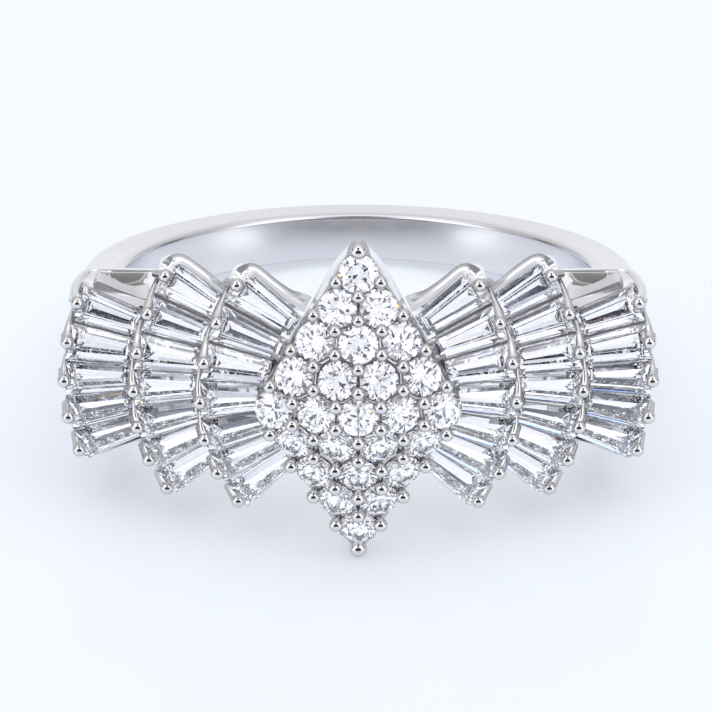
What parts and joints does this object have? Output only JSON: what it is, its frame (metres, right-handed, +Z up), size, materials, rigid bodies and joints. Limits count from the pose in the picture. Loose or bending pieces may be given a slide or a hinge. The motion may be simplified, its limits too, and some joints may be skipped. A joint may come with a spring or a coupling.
{
  "type": "diamond ring",
  "caption": "Finger ring in white metal: a raised lozenge of round pavé stones between two stepped wings of fanned baguettes.",
  "frame": {"origin": "middle of the bounding box's base: the ring lies on its side on the surface, and the origin is on that surface", "axes": "-Y is the way the head with its stones faces, +X is to the right for a viewer of the face, +Z is up. The finger's axis leans 14.2 degrees back from +Z because the ring rests on the lozenge's lower ball and the back of its band"},
  "size_m": [0.0208, 0.0214, 0.0112],
  "materials": {
    "white_metal": "polished",
    "clear_stone": "faceted and polished"
  },
  "bodies": {
    "root": {"mounting": "white_metal", "pave_stones": "clear_stone", "baguette_left_inner_1": "clear_stone", "baguette_left_inner_2": "clear_stone", "baguette_left_inner_3": "clear_stone", "baguette_left_inner_4": "clear_stone", "baguette_left_inner_5": "clear_stone", "baguette_left_inner_6": "clear_stone", "baguette_left_inner_7": "clear_stone", "baguette_left_middle_1": "clear_stone", "baguette_left_middle_2": "clear_stone", "baguette_left_middle_3": "clear_stone", "baguette_left_middle_4": "clear_stone", "baguette_left_middle_5": "clear_stone", "baguette_left_middle_6": "clear_stone", "baguette_left_middle_7": "clear_stone", "baguette_left_outer_1": "clear_stone", "baguette_left_outer_2": "clear_stone", "baguette_left_outer_3": "clear_stone", "baguette_left_outer_4": "clear_stone", "baguette_left_outer_5": "clear_stone", "baguette_right_inner_1": "clear_stone", "baguette_right_inner_2": "clear_stone", "baguette_right_inner_3": "clear_stone", "baguette_right_inner_4": "clear_stone", "baguette_right_inner_5": "clear_stone", "baguette_right_inner_6": "clear_stone", "baguette_right_inner_7": "clear_stone", "baguette_right_middle_1": "clear_stone", "baguette_right_middle_2": "clear_stone", "baguette_right_middle_3": "clear_stone", "baguette_right_middle_4": "clear_stone", "baguette_right_middle_5": "clear_stone", "baguette_right_middle_6": "clear_stone", "baguette_right_middle_7": "clear_stone", "baguette_right_outer_1": "clear_stone", "baguette_right_outer_2": "clear_stone", "baguette_right_outer_3": "clear_stone", "baguette_right_outer_4": "clear_stone", "baguette_right_outer_5": "clear_stone"}
  },
  "joints": []
}
